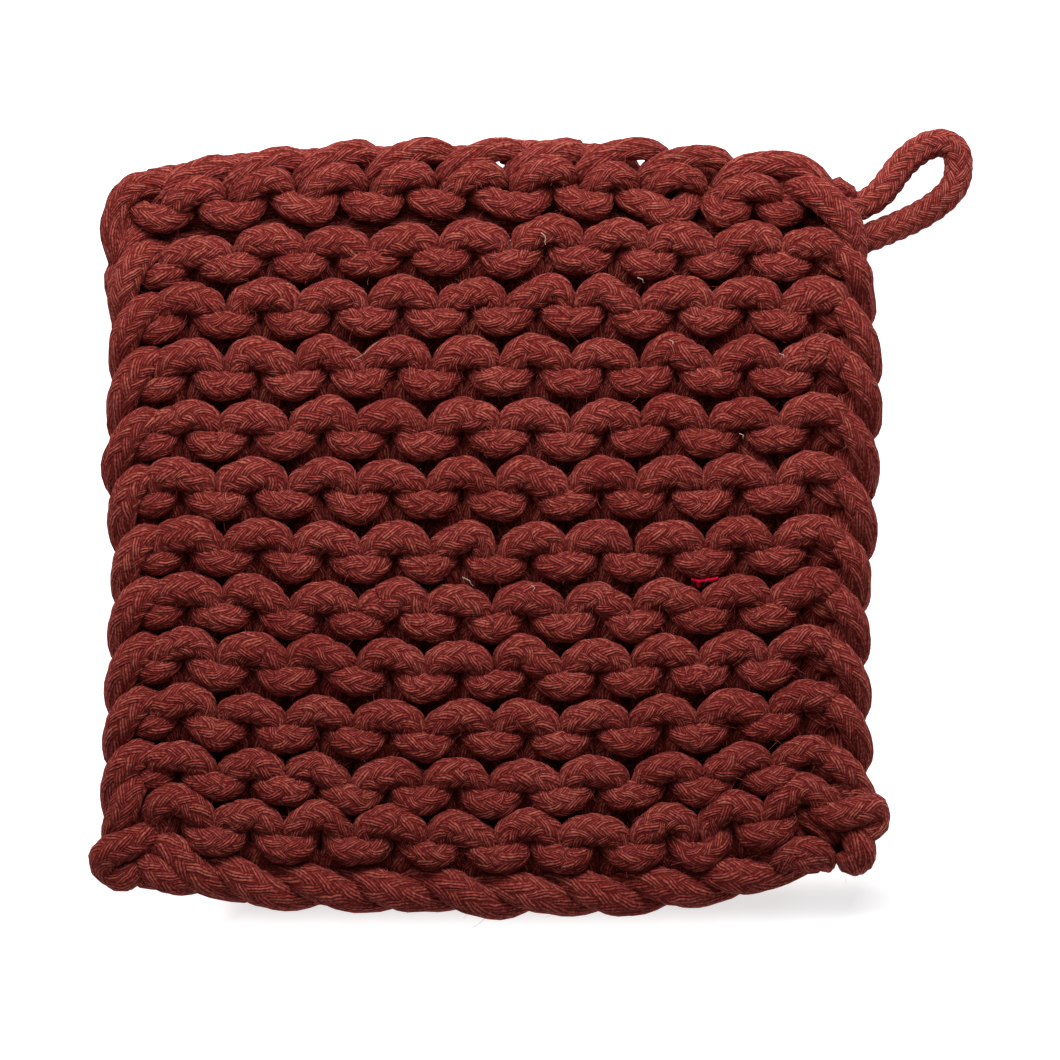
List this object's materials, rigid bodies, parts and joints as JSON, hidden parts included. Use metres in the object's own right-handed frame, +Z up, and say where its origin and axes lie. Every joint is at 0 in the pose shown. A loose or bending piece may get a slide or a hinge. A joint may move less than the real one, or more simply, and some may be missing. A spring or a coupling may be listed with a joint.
{
  "type": "knitted cord trivet",
  "caption": "Square flat trivet knitted in garter stitch from one thick braided cotton cord, with a cord loop at a corner to hang it by.",
  "frame": {"origin": "middle of the outer box of mat and loop, on the surface that the trivet lies on", "axes": "+X to the right along the ridges, +Y towards the top edge, +Z up out of the front face"},
  "size_m": [0.2312, 0.2066, 0.02],
  "materials": {
    "cotton_cord": "matt brick red braided cotton",
    "red_ribbon": "plain woven ribbon"
  },
  "bodies": {
    "root": {"knitted_mat": "cotton_cord", "hanging_loop": "cotton_cord", "label_tab": "red_ribbon"}
  },
  "joints": []
}
